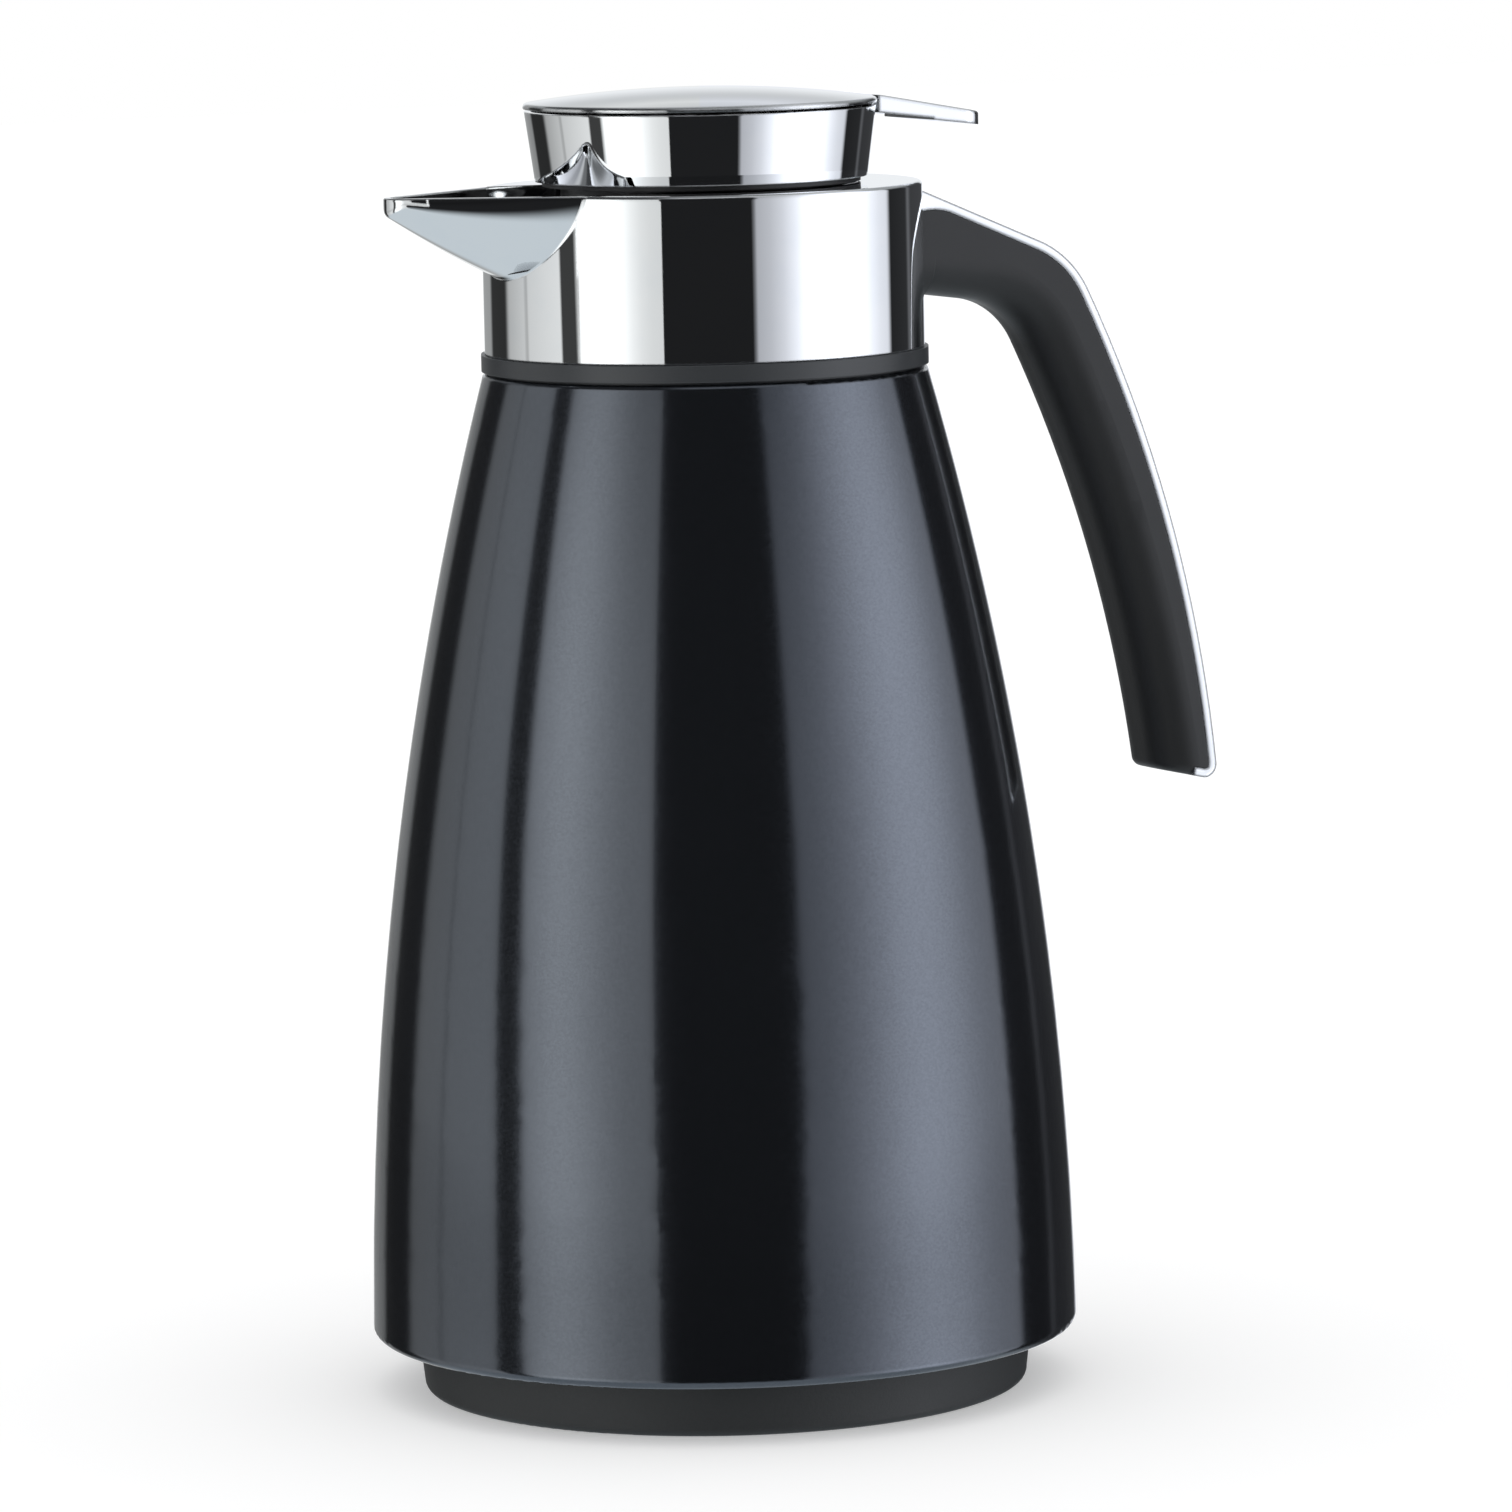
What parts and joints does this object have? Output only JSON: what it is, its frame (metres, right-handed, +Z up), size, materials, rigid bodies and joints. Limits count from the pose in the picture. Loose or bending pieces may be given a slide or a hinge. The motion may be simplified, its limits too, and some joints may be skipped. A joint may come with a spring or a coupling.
{
  "type": "thermal jug",
  "caption": "Vacuum serving jug with a tapered lacquered body, chrome collar and spout, screw-in stopper lid with a thumb lever, and an open black handle with a chrome strip",
  "frame": {"origin": "centre of the flat foot, on the jug's axis", "axes": "+Z up along the jug's axis, +X towards the handle, -X towards the spout"},
  "size_m": [0.202, 0.1582, 0.2909],
  "materials": {
    "lacquer": "gloss metallic lacquer",
    "bright_chrome": "mirror plating",
    "satin_ring": "satin grey",
    "base_plastic": "fine grain",
    "soft_touch": "soft-touch satin",
    "dark_plastic": "moulded",
    "silvered_glass": "silvered",
    "silicone": "translucent grey",
    "steel": "plain"
  },
  "bodies": {
    "jug": {"outer_shell": "lacquer", "base_ring": "dark_plastic", "base_cap": "base_plastic", "liner_cushion": "silicone", "liner_outer_bottle": "silvered_glass", "liner_inner_bottle": "silvered_glass", "liner_pads": "silicone", "neck_gasket": "silicone", "neck_insert": "dark_plastic", "joint_ring": "satin_ring", "collar": "bright_chrome", "collar_screws": "steel", "handle_body": "soft_touch", "handle_strip": "bright_chrome", "handle_screws": "steel"},
    "seal": {"stopper_seal": "silicone"},
    "lid": {"lid_ring": "bright_chrome", "stopper_body": "dark_plastic", "hinge_pin": "steel", "return_spring": "steel"},
    "cover": {"lid_cover": "bright_chrome", "cover_carrier": "dark_plastic", "cover_screws": "steel"},
    "valve": {"valve_stem": "dark_plastic", "valve_plug": "dark_plastic", "valve_seal": "silicone", "valve_nut": "dark_plastic", "valve_pin": "steel"}
  },
  "joints": [
    {"name": "lid_rise", "type": "slide", "parent": "jug", "child": "seal", "axis": [0, 0, 1], "range_m": [0, 0.039]},
    {"name": "lid_turn", "type": "hinge", "parent": "seal", "child": "lid", "pos_m": [0, 0, 0.2329], "axis": [0, 0, 1], "range_deg": [0, 540]},
    {"name": "cover_tilt", "type": "hinge", "parent": "lid", "child": "cover", "pos_m": [0.0342, 0, 0.2815], "axis": [0, 1, 0], "range_deg": [0, 7.5], "stiffness_Nm_per_rad": 1, "springref_deg": -8.59},
    {"name": "valve_lift", "type": "slide", "parent": "lid", "child": "valve", "axis": [0, 0, 1], "range_m": [0, 0.0045], "deforming": ["return_spring"]}
  ],
  "couplings": [
    {"joint": "lid_rise", "follows": "lid_turn", "m_per_rad": 0.004138},
    {"joint": "valve_lift", "follows": "cover_tilt", "m_per_rad": 0.0342}
  ]
}
